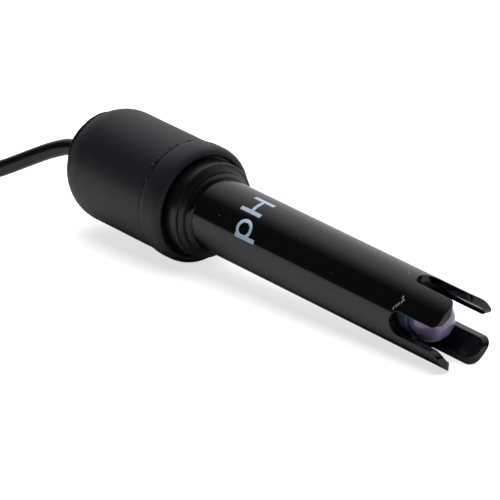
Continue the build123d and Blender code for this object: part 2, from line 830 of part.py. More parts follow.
# The electrode rests on the front ring's bulge and on the slot edges of its two lowest prongs.
prong_foot_r = tube_r * math.cos(math.asin(slot_w / 2 / tube_r))
rest_tilt = math.degrees(
    math.atan2(bulge_r - prong_foot_r, tip_x - prong_corner_r - bulge_x)
)
laid = Rot(Y=rest_tilt)
outer_pieces = ("body_tube", "front_ring", "grip_sleeve", "grommet")
laid_box = Compound(children=[laid * electrode[n] for n in outer_pieces]).bounding_box()
rest = Pos(-laid_box.center().X, 0, -laid_box.min.Z) * laid


def at_rest(x):
    """A point of the electrode's axis in the frame of the whole."""
    point = (rest * Pos(x, 0, 0)).position
    return (point.X, point.Y, point.Z)


plug_foot_x = sleeve_l - sleeve_grip_edge
plug_tilt = math.degrees(
    math.atan2((sleeve_grip_d - boot_end_d) / 2, plug_end_x - plug_foot_x)
)
plug_place = Rot(Y=plug_tilt)
plug_pieces = {
    "coupling_sleeve": coupling_sleeve(),
    "plug_body": plug_body(),
    "plug_insulator": plug_insulator(),
    "plug_pin": plug_pin(),
    "plug_lead_end": plug_lead_end(),
    "plug_gasket": plug_gasket(),
    "thrust_washer": thrust_washer(),
    "plug_ferrule": plug_ferrule(),
    "plug_boot": plug_boot(),
}
plug_box = (plug_place * plug_pieces["plug_boot"]).bounding_box()
sleeve_box = (plug_place * plug_pieces["coupling_sleeve"]).bounding_box()
plug_rest = (
    Pos(
        plug_boot_x - plug_box.max.X,
        plug_y,
        -min(plug_box.min.Z, sleeve_box.min.Z),
    )
    * plug_place
)


def at_plug(x):
    """A point of the plug's axis in the frame of the whole."""
    point = (plug_rest * Pos(x, 0, 0)).position
    return (point.X, point.Y, point.Z)


nose_x = grip_back_x - grommet_nose_l
cord_points = [at_rest(jacket_end_x), at_rest(nose_x - exit_straight)]
cord_points += cord_route
cord_points += [(near_loop_x, lane_y, cord_r)]
tail_points = [(far_loop_x, lane_y, hank_h - cord_r)]
tail_points += tail_route
tail_points += [at_plug(plug_end_x + tail_straight), at_plug(plug_end_x - tail_seat)]

nodes = {name: rest * shape for name, shape in electrode.items()}
nodes |= {name: plug_rest * shape for name, shape in plug_pieces.items()}
nodes["cord_hank"] = cord_hank()
nodes["cord"] = lead(cord_points, "cord") - nodes["cord_hank"]
nodes["cord_tail"] = lead(tail_points, "cord_tail") - nodes["cord_hank"]
nodes["cord_tie"] = cord_tie()

os.makedirs("parts", exist_ok=True)
for name, shape in nodes.items():
    export_step(shape, f"parts/{name}.step")

print("rest tilt", round(rest_tilt, 3), "plug tilt", round(plug_tilt, 3))
print("lead exit", [round(v, 3) for v in at_rest(nose_x)])
print("cord points", [[round(v, 2) for v in p] for p in cord_points])
print("tail points", [[round(v, 2) for v in p] for p in tail_points])
print("plug nose", [round(v, 2) for v in at_plug(0)])
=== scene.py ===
"""The looks of a combination pH electrode with its lead, laid nose down on a pale floor."""

from __future__ import annotations

import json
import logging
import math
from dataclasses import dataclass, field
from enum import Enum
from typing import Any

import bmesh
import bpy
from mathutils import Matrix, Vector, noise

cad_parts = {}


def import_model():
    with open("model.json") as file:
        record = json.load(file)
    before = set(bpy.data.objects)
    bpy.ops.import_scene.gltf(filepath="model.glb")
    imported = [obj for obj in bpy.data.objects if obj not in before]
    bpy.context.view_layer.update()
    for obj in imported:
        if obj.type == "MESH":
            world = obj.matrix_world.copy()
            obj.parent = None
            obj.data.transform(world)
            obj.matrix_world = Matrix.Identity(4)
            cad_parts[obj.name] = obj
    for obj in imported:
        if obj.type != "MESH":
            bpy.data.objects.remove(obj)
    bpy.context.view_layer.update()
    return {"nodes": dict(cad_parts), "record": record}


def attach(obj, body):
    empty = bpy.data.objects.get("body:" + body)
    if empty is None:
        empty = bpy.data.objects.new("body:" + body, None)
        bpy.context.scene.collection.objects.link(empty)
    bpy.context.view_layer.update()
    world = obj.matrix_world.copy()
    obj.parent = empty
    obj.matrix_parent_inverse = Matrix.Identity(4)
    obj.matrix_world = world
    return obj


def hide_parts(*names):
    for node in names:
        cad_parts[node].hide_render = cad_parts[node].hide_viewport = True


LOG = logging.getLogger("ph_electrode")
MM = 0.001
PHOTO_SIZE = 500
ELECTRODE_BODY = "electrode"  # the body that every added piece rides on
TUBE_MOUNT_X = 29.5  # where the tube's mount lies on the electrode's axis, in millimetres
PLUG_MOUNT_X = 0.0  # where the plug's mount lies on the plug's axis, in millimetres
CAMERA_SIDE_DEG = 31.4  # from the camera's side of an axis round to -Y, downwards
UNIT_HALF = 0.5  # half a square or disc of size 1, which is then scaled to its real size

Point = tuple[float, float, float]
Outline = list[tuple[float, float]]


def linear(hex_colour: str) -> tuple[float, float, float, float]:
    """Turns an sRGB hex colour into linear light.

    Args:
        hex_colour: six hex digits, such as "1a1a1c".

    Returns:
        Linear red, green and blue, with an alpha of 1.
    """
    channels = [int(hex_colour[i : i + 2], 16) / 255 for i in (0, 2, 4)]
    lit = [c / 12.92 if c <= 0.04045 else ((c + 0.055) / 1.055) ** 2.4 for c in channels]
    return (lit[0], lit[1], lit[2], 1.0)


def empty_tree(owner: bpy.types.Material | bpy.types.World) -> bpy.types.NodeTree:
    """Turns the nodes of a material or world on and clears them."""
    owner.use_nodes = True
    owner.node_tree.nodes.clear()
    return owner.node_tree


def add_node(
    tree: bpy.types.NodeTree,
    kind: str,
    inputs: dict[str | int, Any] | None = None,
    **settings: Any,
) -> bpy.types.Node:
    """Adds one shader node with its settings, values and links.

    Args:
        tree: the node tree that gets the node.
        kind: the node's type, such as "ShaderNodeTexNoise".
        inputs: for each input, by name or index, its value or the output socket that feeds it.
        **settings: the node's own properties.

    Returns:
        The new node.
    """
    made = tree.nodes.new(kind)
    for name, value in settings.items():
        setattr(made, name, value)
    for key, value in (inputs or {}).items():
        if isinstance(value, bpy.types.NodeSocket):
            tree.links.new(value, made.inputs[key])
        else:
            made.inputs[key].default_value = value
    return made


def add_object(name: str, data: bpy.types.ID) -> bpy.types.Object:
    """Puts a new object with that data into the scene."""
    made = bpy.data.objects.new(name, data)
    bpy.context.scene.collection.objects.link(made)
    return made


@dataclass(frozen=True)
class Surface:
    """One finish: its colour and gloss, and the patterns that break them up.

    The colour is an sRGB hex value. mottle_mm and grain_mm are the sizes of the patches, and
    edge_mm is the radius of the light's edge on corners that are sharp in the mesh.
    """

    name: str
    colour: str
    roughness: float
    ior: float = 1.5
    metallic: float = 0.0
    mottle: float = 0.0
    mottle_mm: float = 3.0
    gloss_change: float = 0.0
    relief_mm: float = 0.0
    grain_mm: float = 0.2
    transmission: float = 0.0
    coat: float = 0.0
    edge_mm: float = 0.0

    MOTTLE_DETAIL = 4.0
    GRAIN_DETAIL = 3.0
    EDGE_SAMPLES = 6

    def material(self, place: OwnFrame) -> bpy.types.Material:
        """Builds the finish as a node material.

        Args:
            place: the own frame whose coordinates the patterns follow.

        Returns:
            The material.
        """
        made = bpy.data.materials.new(self.name)
        tree = empty_tree(made)
        shader = add_node(
            tree,
            "ShaderNodeBsdfPrincipled",
            {
                "Base Color": linear(self.colour),
                "Roughness": self.roughness,
                "Metallic": self.metallic,
                "IOR": self.ior,
                "Transmission Weight": self.transmission,
                "Coat Weight": self.coat,
            },
        )
        if self.mottle or self.gloss_change:
            self.add_mottle(tree, shader, place)
        if self.relief_mm or self.edge_mm:
            self.add_relief(tree, shader, place)
        add_node(tree, "ShaderNodeOutputMaterial", {"Surface": shader.outputs[0]})
        return made

    def add_mottle(
        self, tree: bpy.types.NodeTree, shader: bpy.types.Node, place: OwnFrame
    ) -> None:
        """Varies colour and gloss in soft patches, as handling and moulding leave them.

        Args:
            tree: the material's node tree.
            shader: its surface shader.
            place: the own frame that the patches follow.
        """
        cloud = add_node(
            tree,
            "ShaderNodeTexNoise",
            {
                "Vector": place.coordinates(tree),
                "Scale": 1 / self.mottle_mm,
                "Detail": self.MOTTLE_DETAIL,
            },
        )
        if self.mottle:
            value = add_node(
                tree,
                "ShaderNodeMapRange",
                {0: cloud.outputs[0], 3: 1 - self.mottle, 4: 1 + self.mottle},
            )
            colour = add_node(
                tree,
                "ShaderNodeHueSaturation",
                {"Color": linear(self.colour), "Value": value.outputs[0]},
            )
            tree.links.new(colour.outputs[0], shader.inputs["Base Color"])
        if self.gloss_change:
            gloss = add_node(
                tree,
                "ShaderNodeMapRange",
                {
                    0: cloud.outputs[0],
                    3: self.roughness - self.gloss_change,
                    4: self.roughness + self.gloss_change,
                },
            )
            tree.links.new(gloss.outputs[0], shader.inputs["Roughness"])

    def add_relief(
        self, tree: bpy.types.NodeTree, shader: bpy.types.Node, place: OwnFrame
    ) -> None:
        """Takes the knife edge off corners and raises a fine grain.

        Args:
            tree: the material's node tree.
            shader: its surface shader.
            place: the own frame that the grain follows.
        """
        bent: dict[str, bpy.types.NodeSocket] = {}
        if self.edge_mm:
            edge = add_node(
                tree,
                "ShaderNodeBevel",
                {"Radius": self.edge_mm * MM},
                samples=self.EDGE_SAMPLES,
            )
            bent = {"Normal": edge.outputs[0]}
        if self.relief_mm:
            grain = add_node(
                tree,
                "ShaderNodeTexNoise",
                {
                    "Vector": place.coordinates(tree),
                    "Scale": 1 / self.grain_mm,
                    "Detail": self.GRAIN_DETAIL,
                },
            )
            bump = add_node(
                tree,
                "ShaderNodeBump",
                {
                    "Height": grain.outputs[0],
                    "Strength": 1.0,
                    "Distance": self.relief_mm * MM,
                    **bent,
                },
            )
            bent = {"Normal": bump.outputs[0]}
        tree.links.new(bent["Normal"], shader.inputs["Normal"])


class Finish(Enum):
    """The finishes of the electrode and its lead."""

    # Extruded tube, polished: near black, with long sharp reflections and bright lines at edges.
    TUBE = Surface(
        "black_polycarbonate",
        "0b0b0c",
        roughness=0.12,
        gloss_change=0.03,
        mottle=0.2,
        edge_mm=0.18,
    )
    # Moulded cap, satin: its reflections are broader and duller than the tube's.
    COLLAR = Surface(
        "black_moulded_cap",
        "111113",
        roughness=0.3,
        gloss_change=0.05,
        mottle=0.2,
        edge_mm=0.12,
    )
    # Moulded soft rubber: dark grey with a wide dull sheen. The grain is drawn coarse, to show.
    GRIP = Surface(
        "dark_grey_rubber",
        "1b1b1f",
        roughness=0.5,
        gloss_change=0.06,
        mottle=0.14,
        relief_mm=0.02,
    )
    # Squeezed out and set in the air: blacker and shinier than the rubber, with a rough skin.
    GLUE = Surface(
        "black_rubber_adhesive", "121214", roughness=0.3, mottle=0.2, relief_mm=0.03
    )
    # Extruded soft vinyl: black, with one clean stripe of light along it.
    JACKET = Surface("black_vinyl", "090a0b", roughness=0.28, mottle=0.1)
    # Ink laid on by a pad: even pale blue, with hardly any gloss.
    PRINT = Surface("pale_blue_pad_print", "c3d5ea", roughness=0.55, mottle=0.05)
    # Storage solution that dried: chalky, in patches.
    RESIDUE = Surface("dried_salt", "8f8f84", roughness=0.8, mottle=0.3, mottle_mm=0.4)
    # Blown glass, wet and thin: lilac, half clear, with small sharp reflections.
    GLASS = Surface(
        "lilac_sensing_glass",
        "bcb0e2",
        roughness=0.05,
        ior=1.52,
        transmission=0.5,
        coat=1.0,
        mottle=0.3,
    )
    # Moulded silicone: dim blue, and a little light goes through it.
    SILICONE = Surface("bluish_silicone", "4a6480", roughness=0.3, ior=1.42, transmission=0.1)
    # Cast resin: black and softly shiny.
    EPOXY = Surface("black_epoxy", "060607", roughness=0.3, ior=1.55)
    # Fired without a glaze: off-white and dull.
    CERAMIC = Surface("porous_ceramic", "d8d4cb", roughness=0.8, mottle=0.1)
    # Drawn wire: bright with a soft sheen.
    SILVER = Surface("drawn_silver", "c9c7c2", roughness=0.25, metallic=1.0)
    # Salt solution and clear gel: they only bend the light.
    LIQUID = Surface("clear_buffer", "ffffff", roughness=0.0, ior=1.34, transmission=1.0)
    # Fine strands and crimps: warm metal, dulled by handling.
    COPPER = Surface("tinned_copper", "b98a66", roughness=0.35, metallic=1.0)
    # Plated brass: pale warm grey, with clear reflections that vary a little with wear.
    NICKEL = Surface("nickel_plate", "b9b6ae", roughness=0.2, metallic=1.0, gloss_change=0.05)
    # Plated contact: yellow and bright.
    GOLD = Surface("gold_plate", "d9b463", roughness=0.2, metallic=1.0)
    # Turned or extruded insulation: milky white, half dull.
    WHITE = Surface("white_polymer", "e6e4de", roughness=0.4)
    # Punched gasket: brick red and dull.
    RED = Surface("red_silicone", "8c2a1c", roughness=0.45)
    # Moulded boot: black, duller than the jacket, with a grain drawn coarse enough to show.
    BOOT = Surface("black_boot_rubber", "141415", roughness=0.55, relief_mm=0.02)


@dataclass(frozen=True)
class OwnFrame:
    """The place of a sub-assembly that is drawn along its own X axis and laid in the whole.

    It keeps the materials made for it, so that pieces with the same finish share one.
    """

    origin: Vector
    tilt: float
    materials: dict[str, bpy.types.Material] = field(default_factory=dict)

    @classmethod
    def from_mount(cls, record: dict[str, Any], name: str, mount_x: float, sign: int) -> OwnFrame:
        """Reads the place from one of the record's mounts.

        Args:
            record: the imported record.
            name: the mount's name.
            mount_x: where the mount lies on the own axis, in millimetres.
            sign: 1 if the mount's axis runs along the own +X, otherwise -1.

        Returns:
            The own frame.
        """
        mount = next(m for m in record["mounts"] if m["name"] == name)
        axis = Vector(mount["axis"]) * sign
        origin = Vector(mount["pos_m"]) - axis * mount_x * MM
        return cls(origin, math.atan2(-axis.z, axis.x))

    def matrix(self) -> Matrix:
        """From own millimetres to metres in the frame of the whole."""
        turn = Matrix.Rotation(self.tilt, 4, "Y")
        return Matrix.Translation(self.origin) @ turn @ Matrix.Scale(MM, 4)

    def at(self, x: float) -> Vector:
        """A point on the own axis, in metres, from its place in own millimetres."""
        return self.matrix() @ Vector((x, 0.0, 0.0))

    def coordinates(self, tree: bpy.types.NodeTree) -> bpy.types.NodeSocket:
        """Own coordinates in millimetres, for patterns that follow the piece."""
        source = add_node(tree, "ShaderNodeTexCoord")
        mapping = add_node(
            tree,
            "ShaderNodeMapping",
            {
                "Vector": source.outputs["Object"],
                "Location": self.origin,
                "Rotation": (0.0, self.tilt, 0.0),
                "Scale": (MM, MM, MM),
            },
            vector_type="TEXTURE",
        )
        return mapping.outputs["Vector"]

    def material(self, finish: Finish) -> bpy.types.Material:
        """The finish's material for pieces in this frame, made at its first use."""
        if finish.name not in self.materials:
            self.materials[finish.name] = finish.value.material(self)
        return self.materials[finish.name]

    def piece(
        self, name: str, work: bmesh.types.BMesh, finish: Finish, slot: str
    ) -> bpy.types.Object:
        """Turns a mesh drawn in own millimetres into a piece that rides on the electrode.

        Args:
            name: the piece's name.
            work: its mesh, which is freed.
            finish: its finish.
            slot: the record's material slot; not used.

        Returns:
            The new object.
        """
        bmesh.ops.transform(work, matrix=self.matrix(), verts=work.verts)
        bmesh.ops.recalc_face_normals(work, faces=work.faces)
        mesh = bpy.data.meshes.new(name)
        work.to_mesh(mesh)
        work.free()
        mesh.materials.append(self.material(finish))
        mesh.shade_smooth()
        made = add_object(name, mesh)
        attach(made, ELECTRODE_BODY)
        LOG.info("%s: %d faces", name, len(mesh.polygons))
        return made


def around(x: float, radius: float, angle: float) -> Vector:
    """A point by its place along an own axis and its angle round it.

    Args:
        x: along the axis, in millimetres.
        radius: from the axis, in millimetres.
        angle: in degrees from the camera's side, growing downwards.

    Returns:
        The point in own millimetres.
    """
    turn = math.radians(angle - CAMERA_SIDE_DEG)
    return Vector((x, -math.cos(turn) * radius, -math.sin(turn) * radius))


def angle_of(point: Vector) -> float:
    """The angle round the own axis of a point in own millimetres, as around() counts it."""
    return math.degrees(math.atan2(-point.z, -point.y)) + CAMERA_SIDE_DEG


def drawn(index: int, pace: float, row: float) -> float:
    """A draw between -1 and 1 for a numbered piece, read off a fixed noise.

    Args:
        index: the piece's number.
        pace: how far apart in the noise two neighbours are.
        row: the row of the noise, a different one for each use.

    Returns:
        The draw, the same in each run.
    """
    return noise.noise(Vector((index * pace, row, 0.0)))


def spin_round(
    work: bmesh.types.BMesh, geom: list[Any], steps: int, angle: float = math.tau
) -> None:
    """Spins geometry round the own axis and closes a full turn.

    Args:
        work: the mesh that holds it.
        geom: what is spun.
        steps: the steps of the turn.
        angle: the turn in radians.
    """
    bmesh.ops.spin(
        work,
        geom=geom,
        cent=(0, 0, 0),
        axis=(1, 0, 0),
        angle=angle,
        steps=steps,
        use_merge=angle == math.tau,
    )


def spun_ring(outline: Outline, steps: int) -> bmesh.types.BMesh:
    """Spins a closed outline into a ring.

    Args:
        outline: its corners, each a place along the own axis and a radius, in millimetres.
        steps: the steps of the full turn.

    Returns:
        The ring's mesh in own millimetres.
    """
    work = bmesh.new()
    corners = [work.verts.new(around(x, radius, 0.0)) for x, radius in outline]
    edges = [work.edges.new(pair) for pair in zip(corners, corners[1:] + corners[:1])]
    spin_round(work, corners + edges, steps)
    return work


@dataclass
class Studio:
    """Camera, floor and light, in metres.

    sky_rise holds the cosines, from the bright side's direction, between which the sky brightens
    from its first strength to its second.
    """

    camera_from_collar: Point = (0.6365, -0.5201, 0.2759)
    camera_forward: Point = (-0.729, 0.603, -0.32443)
    camera_roll_deg: float = 0.45
    focal_px: float = 5500.0
    sensor_mm: float = 36.0
    clip_near: float = 0.05
    clip_far: float = 20.0
    floor_size: float = 4.0
    floor_grey: float = 0.85
    floor_glow: float = 0.7
    bright_side: Point = (-0.35, 0.72, 0.6)
    sky_rise: tuple[float, float] = (0.3, 1.0)
    sky_strength: tuple[float, float] = (0.03, 0.85)
    lamp_place: Point = (0.0, 0.15, 1.1)
    lamp_size: float = 1.4
    lamp_watts: float = 11.5

    def camera(self, collar: Vector) -> None:
        """Stands the camera where the photograph's was.

        Args:
            collar: the point that the camera's place is measured from.
        """
        data = bpy.data.cameras.new("camera")
        data.sensor_width = self.sensor_mm
        data.lens = self.focal_px / PHOTO_SIZE * self.sensor_mm
        data.clip_start = self.clip_near
        data.clip_end = self.clip_far
        forward = Vector(self.camera_forward).normalized()
        right = forward.cross(Vector((0, 0, 1))).normalized()
        up = right.cross(forward)
        turn = Matrix((right, up, -forward)).transposed().to_4x4()
        turn @= Matrix.Rotation(math.radians(self.camera_roll_deg), 4, "Z")
        eye = add_object("camera", data)
        eye.matrix_world = Matrix.Translation(collar + Vector(self.camera_from_collar)) @ turn
        bpy.context.scene.camera = eye

    def floor(self) -> None:
        """Lays a pale floor, which the camera sees as white outside the soft shadow."""
        mesh = bpy.data.meshes.new("floor")
        sheet = bmesh.new()
        bmesh.ops.create_grid(sheet, x_segments=1, y_segments=1, size=self.floor_size / 2)
        sheet.to_mesh(mesh)
        sheet.free()
        # Matt paper: its own grey takes the shadow, and the glow is for the camera's eye alone.
        paper = bpy.data.materials.new("white_floor")
        tree = empty_tree(paper)
        path = add_node(tree, "ShaderNodeLightPath")
        grey = (self.floor_grey, self.floor_grey, self.floor_grey, 1)
        lit = add_node(tree, "ShaderNodeBsdfDiffuse", {"Color": grey})
        strength = add_node(
            tree,
            "ShaderNodeMath",
            {0: path.outputs["Is Camera Ray"], 1: self.floor_glow},
            operation="MULTIPLY",
        )
        glow = add_node(
            tree,
            "ShaderNodeEmission",
            {"Color": (1, 1, 1, 1), "Strength": strength.outputs[0]},
        )
        both = add_node(tree, "ShaderNodeAddShader", {0: lit.outputs[0], 1: glow.outputs[0]})
        add_node(tree, "ShaderNodeOutputMaterial", {"Surface": both.outputs[0]})
        mesh.materials.append(paper)
        add_object("floor", mesh)

    def sky(self) -> None:
        """Surrounds the set with a bright side behind the object and a dark side by the camera."""
        world = bpy.data.worlds.new("studio")
        bpy.context.scene.world = world
        tree = empty_tree(world)
        path = add_node(tree, "ShaderNodeLightPath")
        source = add_node(tree, "ShaderNodeTexCoord")
        towards = add_node(
            tree,
            "ShaderNodeVectorMath",
            {0: source.outputs["Generated"], 1: Vector(self.bright_side).normalized()},
            operation="DOT_PRODUCT",
        )
        rise_from, rise_to = self.sky_rise
        dark, bright = self.sky_strength
        ramp = add_node(
            tree,
            "ShaderNodeMapRange",
            {0: towards.outputs["Value"], 1: rise_from, 2: rise_to, 3: dark, 4: bright},
            interpolation_type="SMOOTHSTEP",
        )
        strength = add_node(
            tree,
            "ShaderNodeMix",
            {0: path.outputs["Is Camera Ray"], 2: ramp.outputs[0], 3: 1.0},
        )
        light = add_node(
            tree, "ShaderNodeBackground", {"Color": (1, 1, 1, 1), "Strength": strength.outputs[0]}
        )
        add_node(tree, "ShaderNodeOutputWorld", {"Surface": light.outputs[0]})

    def lamp(self) -> None:
        """Hangs a wide soft lamp that points at the object and shows in no reflection."""
        data = bpy.data.lights.new("overhead", "AREA")
        data.shape = "SQUARE"
        data.size = self.lamp_size
        data.energy = self.lamp_watts
        place = Vector(self.lamp_place)
        turn = (-place).to_track_quat("-Z", "Y").to_matrix().to_4x4()
        lamp = add_object("overhead", data)
        lamp.matrix_world = Matrix.Translation(place) @ turn
        lamp.visible_glossy = False

    def build(self, collar: Vector) -> None:
        """Sets the whole studio up.

        Args:
            collar: the point that the camera's place is measured from.
        """
        self.camera(collar)
        self.floor()
        self.sky()
        self.lamp()


@dataclass
class SubAssembly:
    """Pieces of one own frame: solids of the frame that get a finish, and meshes added to them."""

    nodes: dict[str, bpy.types.Object]
    place: OwnFrame

    SOLIDS = {}  # the names of the group's solids, by their finish

    def dress(self) -> None:
        """Gives the group's solids their finishes."""
        for finish, names in self.SOLIDS.items():
            material = self.place.material(finish)
            for name in names:
                for slot in self.nodes[name].material_slots:
                    slot.material = material
                LOG.info("dressed %s in %s", name, material.name)

    def build(self) -> None:
        """Dresses the solids. A group with meshes of its own adds them here."""
        self.dress()


class GlassElectrode(SubAssembly):
    """The glass stem with its blown bulb, what it holds, its bung and the sleeve at its neck."""

    SOLIDS = {
        Finish.GLASS: ("glass_electrode",),
        Finish.SILICONE: ("neck_sleeve",),
        Finish.EPOXY: ("stem_bung",),
        Finish.LIQUID: ("inner_buffer",),
        Finish.SILVER: ("silver_wire",),
        Finish.COPPER: ("inner_splice",),
    }


class ReferenceSide(SubAssembly):
    """The reference side: the gel round the glass stem, its wire and the porous junction."""

    SOLIDS = {
        Finish.CERAMIC: ("junction",),
        Finish.LIQUID: ("reference_gel",),
        Finish.SILVER: ("reference_wire",),
        Finish.COPPER: ("reference_splice",),
    }


class Plug(SubAssembly):
    """The bayonet plug on the lead's far end."""

    SOLIDS = {
        Finish.NICKEL: ("coupling_sleeve", "plug_body", "plug_ferrule", "thrust_washer"),
        Finish.GOLD: ("plug_pin",),
        Finish.RED: ("plug_gasket",),
        Finish.BOOT: ("plug_boot",),
        Finish.WHITE: ("plug_insulator",),
    }
    CABLE_END_X = 41.33  # the boot's mouth, in millimetres along the plug's axis

    def pieces(self) -> list[bpy.types.Object]:
        """The plug's nodes, which hang on the lead."""
        return [self.nodes[name] for names in self.SOLIDS.values() for name in names]


@dataclass
class Lead(SubAssembly):
    """The lead: a loose stretch, a tied hank and a tail to the plug, as one smooth line.

    Sizes are in millimetres. jacket_end_x and exit_x lie on the electrode's axis, and all other
    places are in the frame of the whole. The route's and the tail's points are given, and
    those of the hank are worked out. The curve's order keeps the line close to its points.
    """

    SOLIDS = {
        Finish.COPPER: ("coax_strand", "braid_tail"),
        Finish.WHITE: ("coax_core",),
        Finish.JACKET: ("cord_tie",),
    }

    plug: Plug
    diameter: float = 2.7
    length_m: float = 0.95
    jacket_end_x: float = -21.0
    exit_x: float = -34.0
    exit_straight: float = 2.0
    route: tuple[Point, ...] = (
        (-52.4, -1.6, 10.4),
        (-57.2, -3.4, 7.9),
        (-62.6, -5.6, 4.9),
        (-68.6, -8.4, 2.6),
        (-75.0, -11.2, 1.5),
        (-81.6, -12.9, 1.4),
    )
    tail: tuple[Point, ...] = (
        (-120.2, -13.0, 9.2),
        (-125.8, -12.2, 7.0),
        (-130.4, -9.9, 3.4),
    )
    near_loop_x: float = -88.15
    far_loop_x: float = -113.85
    middle_y: float = -2.4
    inner_r: float = 8.1
    waist_inner: float = 1.8
    rows: int = 4
    step_deg: float = 26.1
    least_steps: int = 2
    tail_straight: float = 2.5
    tail_seat: float = 6.0
    line_steps: int = 5
    round_steps: int = 5
    curve_order: int = 3

    def lane(self, column: int, row: int) -> tuple[float, float, float]:
        """One lane of the hank.

        Args:
            column: 0 for the outer lane, 1 for the inner one.
            row: the layer, from 0 at the bottom.

        Returns:
            The lane's radius at the end loops, its distance from the middle at the waist, and
            its height, in millimetres.
        """
        out = (1 - column) * self.diameter
        height = (row + 0.5) * self.diameter
        return self.inner_r + out, self.waist_inner + out, height

    def turns(self) -> list[tuple[int, int]]:
        """The lanes in the order that the lead runs through them, each layer out and back."""
        lanes = []
        for row in range(self.rows):
            lanes += [(column, row) for column in ((0, 1) if row % 2 == 0 else (1, 0))]
        return lanes

    def side(self, loop_r: float, waist: float, side: int) -> list[Vector]:
        """The line of one side, from the near loop to the far one, pulled in at the waist.

        Each half is two equal arcs that bend opposite ways. The control points stand on the
        polygon round an arc, so that the line touches the arc.

        Args:
            loop_r: the lane's radius at the loops.
            waist: its distance from the middle at the waist.
            side: -1 for the -Y side, 1 for the +Y side.

        Returns:
            Control points in millimetres, at no height.
        """
        half = (self.near_loop_x - self.far_loop_x) / 2
        bend = 2 * math.atan2(loop_r - waist, half)
        radius = half / (2 * math.sin(bend))
        steps = max(self.least_steps, round(math.degrees(bend) / self.step_deg))
        swell = radius / math.cos(bend / steps / 2)
        points = []
        for i in range(steps):
            angle = bend * (i + 0.5) / steps
            along = swell * math.sin(angle)
            out = loop_r - radius + swell * math.cos(angle)
            points.append((along, out))
        for i in range(steps):
            angle = bend * (steps - i - 0.5) / steps
            along = half - swell * math.sin(angle)
            out = waist + radius - swell * math.cos(angle)
            points.append((along, out))
        mirrored = [(2 * half - along, out) for along, out in reversed(points)]
        return [
            Vector((self.near_loop_x - along, self.middle_y + side * out, 0.0))
            for along, out in points + mirrored
        ]

    def loop(self, centre_x: float, loop_r: float, start_deg: float) -> list[Vector]:
        """Half a turn round one end of the hank.

        Args:
            centre_x: the loop's centre along X.
            loop_r: its radius.
            start_deg: the angle from +X where it starts; it runs clockwise seen from above.

        Returns:
            Control points in millimetres, at no height.
        """
        steps = round(180 / self.step_deg)
        swell = loop_r / math.cos(math.pi / steps / 2)
        points = []
        for i in range(steps):
            angle = math.radians(start_deg) - math.pi * (i + 0.5) / steps
            x = centre_x + swell * math.cos(angle)
            y = self.middle_y + swell * math.sin(angle)
            points.append(Vector((x, y, 0.0)))
        return points

    def hank(self) -> list[Vector]:
        """The control points of the tied hank, from the lead's way in to its way out."""
        order = self.turns()
        points: list[Vector] = []
        for index, (column, row) in enumerate(order):
            loop_r, waist, height = self.lane(column, row)
            lift = Vector((0, 0, height))
            points += [point + lift for point in self.side(loop_r, waist, -1)]
            if index == len(order) - 1:
                break
            back = self.loop(self.far_loop_x, loop_r, -90.0)
            back += reversed(self.side(loop_r, waist, 1))
            points += [point + lift for point in back]
            next_r, _, next_height = self.lane(*order[index + 1])
            here = self.loop(self.near_loop_x, loop_r, 90.0)
            there = self.loop(self.near_loop_x, next_r, 90.0)
            for i, (leaving, joining) in enumerate(zip(here, there)):
                share = (i + 0.5) / len(here)
                point = leaving.lerp(joining, share)
                point.z = height + (next_height - height) * share
                points.append(point)
        return points

    def line(self) -> list[Vector]:
        """All control points of the lead, in metres."""
        start = [self.place.at(self.jacket_end_x), self.place.at(self.exit_x - self.exit_straight)]
        middle = [Vector(point) * MM for point in (*self.route, *self.hank(), *self.tail)]
        end = [
            self.plug.place.at(self.plug.CABLE_END_X + self.tail_straight),
            self.plug.place.at(self.plug.CABLE_END_X - self.tail_seat),
        ]
        return start + middle + end

    def cord(self) -> None:
        data = bpy.data.curves.new("lead", "CURVE")
        data.dimensions = "3D"
        data.bevel_depth = self.diameter / 2 * MM
        data.bevel_resolution = self.round_steps
        data.resolution_u = self.line_steps
        data.use_fill_caps = True
        points = self.line()
        spline = data.splines.new("NURBS")
        spline.points.add(len(points) - 1)
        for target, point in zip(spline.points, points):
            target.co = (*point, 1.0)
        spline.order_u = self.curve_order
        spline.use_endpoint_u = True
        data.materials.append(self.place.material(Finish.JACKET))
        lead = add_object("lead", data)
        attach(lead, ELECTRODE_BODY)
        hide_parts("cord", "cord_hank", "cord_tail", "plug_lead_end")
        tuple(self.place.at(self.exit_x))
        self.plug.pieces()
        LOG.info("lead: %d control points", len(points))

    def build(self) -> None:
        """Makes the lead and dresses its tie and its stripped end."""
        self.cord()
        self.dress()


